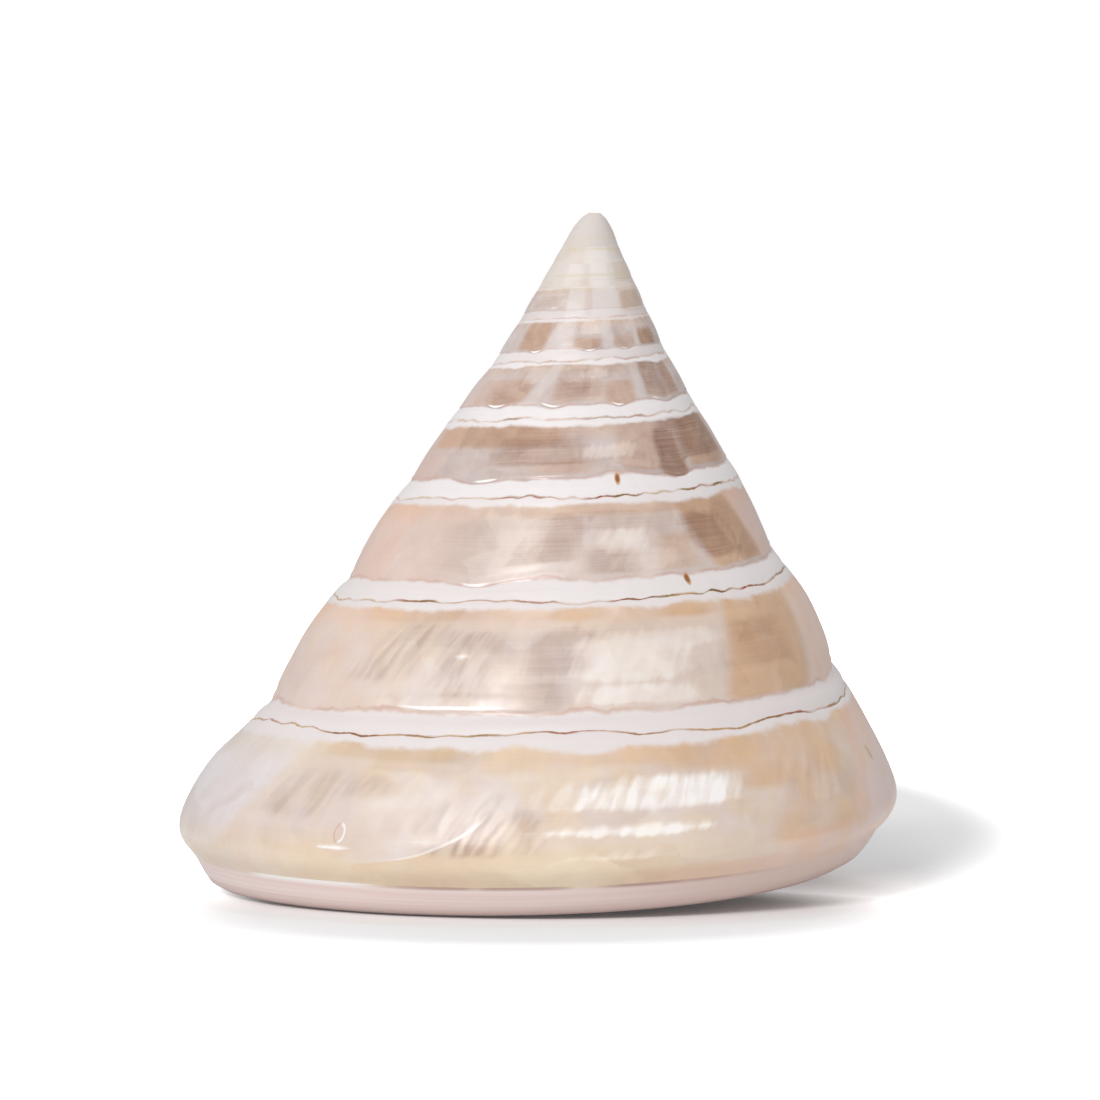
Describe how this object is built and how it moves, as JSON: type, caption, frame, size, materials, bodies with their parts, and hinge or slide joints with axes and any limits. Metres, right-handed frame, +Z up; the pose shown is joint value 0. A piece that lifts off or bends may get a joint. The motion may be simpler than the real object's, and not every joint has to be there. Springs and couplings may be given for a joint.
{
  "type": "top shell",
  "caption": "Polished pearly top shell: a coiled cone with a rounded lower edge, false umbilicus and open mouth, resting on its base.",
  "frame": {"origin": "middle of the bounding box at the level the shell rests on", "axes": "+Z up; the tip leans a little towards +X and -Y; -Y is the side seen first, with the mouth hidden at +Y"},
  "size_m": [0.0896, 0.0938, 0.0841],
  "materials": {
    "nacre": "polished"
  },
  "bodies": {
    "root": {"shell": "nacre"}
  },
  "joints": []
}
